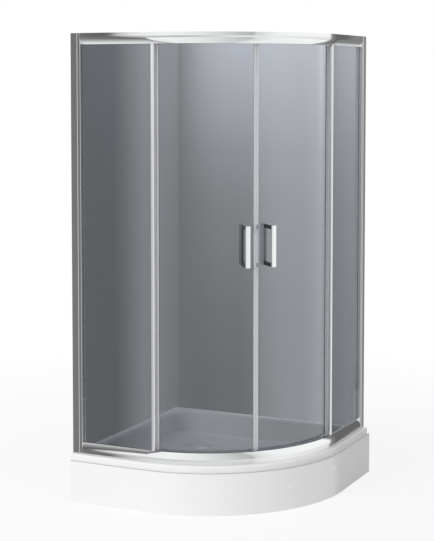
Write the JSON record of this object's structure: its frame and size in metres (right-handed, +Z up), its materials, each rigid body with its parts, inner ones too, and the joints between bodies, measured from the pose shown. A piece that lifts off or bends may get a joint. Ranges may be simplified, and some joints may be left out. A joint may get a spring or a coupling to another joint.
{
  "type": "quadrant shower enclosure",
  "caption": "Quadrant corner shower enclosure with curved sliding grey glass doors, chrome rails and pulls, and a raised white tray with a front panel.",
  "frame": {"origin": "centre of the 900 by 900 mm footprint, on the floor", "axes": "+Z up, -X faces the left wall, +Y faces the back wall, and the curved front faces -Y and +X"},
  "size_m": [0.9, 0.9, 1.8],
  "materials": {
    "white_acrylic": "glossy vacuum-formed acrylic",
    "black_plastic": "moulded polypropylene",
    "board": "raw particle board",
    "galvanised_steel": "galvanised steel tube",
    "zinc_steel": "zinc plated",
    "chrome": "polished chrome plate",
    "rubber": "moulded rubber",
    "trap_plastic": "white polypropylene",
    "polished_aluminium": "bright polished and anodised extrusion",
    "grey_plastic": "moulded acetal",
    "grey_glass": "grey tinted toughened glass",
    "clear_seal": "clear extruded vinyl",
    "nylon": "turned nylon"
  },
  "bodies": {
    "enclosure": {"shower_tray": "white_acrylic", "front_panel": "white_acrylic", "panel_clips": "black_plastic", "base_board": "board", "support_bars": "galvanised_steel", "foot_bolts": "zinc_steel", "foot_pads": "black_plastic", "waste_flange": "chrome", "waste_seal": "rubber", "trap_body": "trap_plastic", "top_rail": "polished_aluminium", "bottom_rail": "polished_aluminium", "rail_keys": "grey_plastic", "wall_profile_left": "polished_aluminium", "wall_profile_right": "polished_aluminium", "side_frame_left": "polished_aluminium", "side_frame_right": "polished_aluminium", "profile_caps": "grey_plastic", "fixed_glass_left": "grey_glass", "fixed_glass_right": "grey_glass", "glass_gaskets_left": "clear_seal", "glass_gaskets_right": "clear_seal", "edge_profile_left": "polished_aluminium", "edge_profile_right": "polished_aluminium", "overlap_seal_left": "clear_seal", "overlap_seal_right": "clear_seal", "door_stops": "rubber"},
    "left_door": {"door_glass_left": "grey_glass", "magnetic_seal_left": "clear_seal", "trailing_seal_left": "clear_seal", "outer_handle_left": "chrome", "inner_handle_left": "chrome", "handle_bolts_left": "zinc_steel", "roller_axles_left": "zinc_steel", "roller_caps_left": "chrome", "bottom_guides_left": "grey_plastic"},
    "right_door": {"door_glass_right": "grey_glass", "magnetic_seal_right": "clear_seal", "trailing_seal_right": "clear_seal", "outer_handle_right": "chrome", "inner_handle_right": "chrome", "handle_bolts_right": "zinc_steel", "roller_axles_right": "zinc_steel", "roller_caps_right": "chrome", "bottom_guides_right": "grey_plastic"},
    "left_trailing_roller": {"top_roller_left_trailing": "nylon"},
    "left_leading_roller": {"top_roller_left_leading": "nylon"},
    "right_trailing_roller": {"top_roller_right_trailing": "nylon"},
    "right_leading_roller": {"top_roller_right_leading": "nylon"},
    "drain_cover": {"drain_cover": "chrome"}
  },
  "joints": [
    {"name": "left_door_travel", "type": "hinge", "parent": "enclosure", "child": "left_door", "pos_m": [-0.13, 0.13, 1], "axis": [0, 0, 1], "range_deg": [-25, 0]},
    {"name": "right_door_travel", "type": "hinge", "parent": "enclosure", "child": "right_door", "pos_m": [-0.13, 0.13, 1], "axis": [0, 0, 1], "range_deg": [0, 25]},
    {"name": "left_trailing_roller_spin", "type": "hinge", "parent": "left_door", "child": "left_trailing_roller", "pos_m": [0.0636, -0.36149, 1.77765], "axis": [-0.3665, 0.9304, 0], "continuous": true},
    {"name": "left_leading_roller_spin", "type": "hinge", "parent": "left_door", "child": "left_leading_roller", "pos_m": [0.21656, -0.26867, 1.77765], "axis": [-0.6561, 0.7547, 0], "continuous": true},
    {"name": "right_trailing_roller_spin", "type": "hinge", "parent": "right_door", "child": "right_trailing_roller", "pos_m": [0.36149, -0.0636, 1.77765], "axis": [-0.9304, 0.3665, 0], "continuous": true},
    {"name": "right_leading_roller_spin", "type": "hinge", "parent": "right_door", "child": "right_leading_roller", "pos_m": [0.26867, -0.21656, 1.77765], "axis": [-0.7547, 0.6561, 0], "continuous": true},
    {"name": "drain_cover_lift", "type": "slide", "parent": "enclosure", "child": "drain_cover", "axis": [0, 0, 1], "range_m": [0, 0.03]}
  ],
  "couplings": [
    {"joint": "left_trailing_roller_spin", "follows": "left_door_travel", "ratio": 45.935},
    {"joint": "left_leading_roller_spin", "follows": "left_door_travel", "ratio": 45.935},
    {"joint": "right_trailing_roller_spin", "follows": "right_door_travel", "ratio": 45.935},
    {"joint": "right_leading_roller_spin", "follows": "right_door_travel", "ratio": 45.935}
  ]
}
